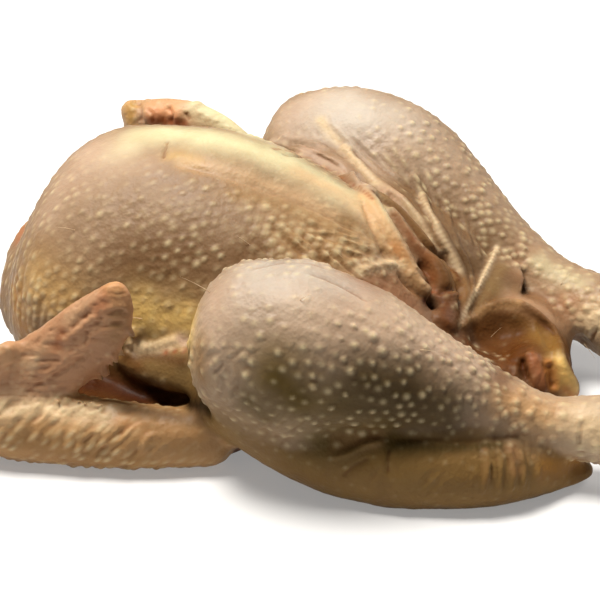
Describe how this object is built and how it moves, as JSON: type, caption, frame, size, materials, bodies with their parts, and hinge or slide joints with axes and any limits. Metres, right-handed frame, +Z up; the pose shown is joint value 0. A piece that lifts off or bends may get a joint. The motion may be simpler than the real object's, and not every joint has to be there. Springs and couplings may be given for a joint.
{
  "type": "boiling hen",
  "caption": "Whole raw boiling hen, plucked and drawn, lying on its back with the breast up, legs back along the body and wings folded at the sides.",
  "frame": {"origin": "on the table, at the middle of the flat that the bird rests on", "axes": "+X from the neck towards the tail, +Y towards the bird's left side (the far side in the picture), +Z up from the table"},
  "size_m": [0.2814, 0.2145, 0.0994],
  "materials": {
    "skin": "moist raw skin"
  },
  "bodies": {
    "root": {"hen": "skin"}
  },
  "joints": []
}
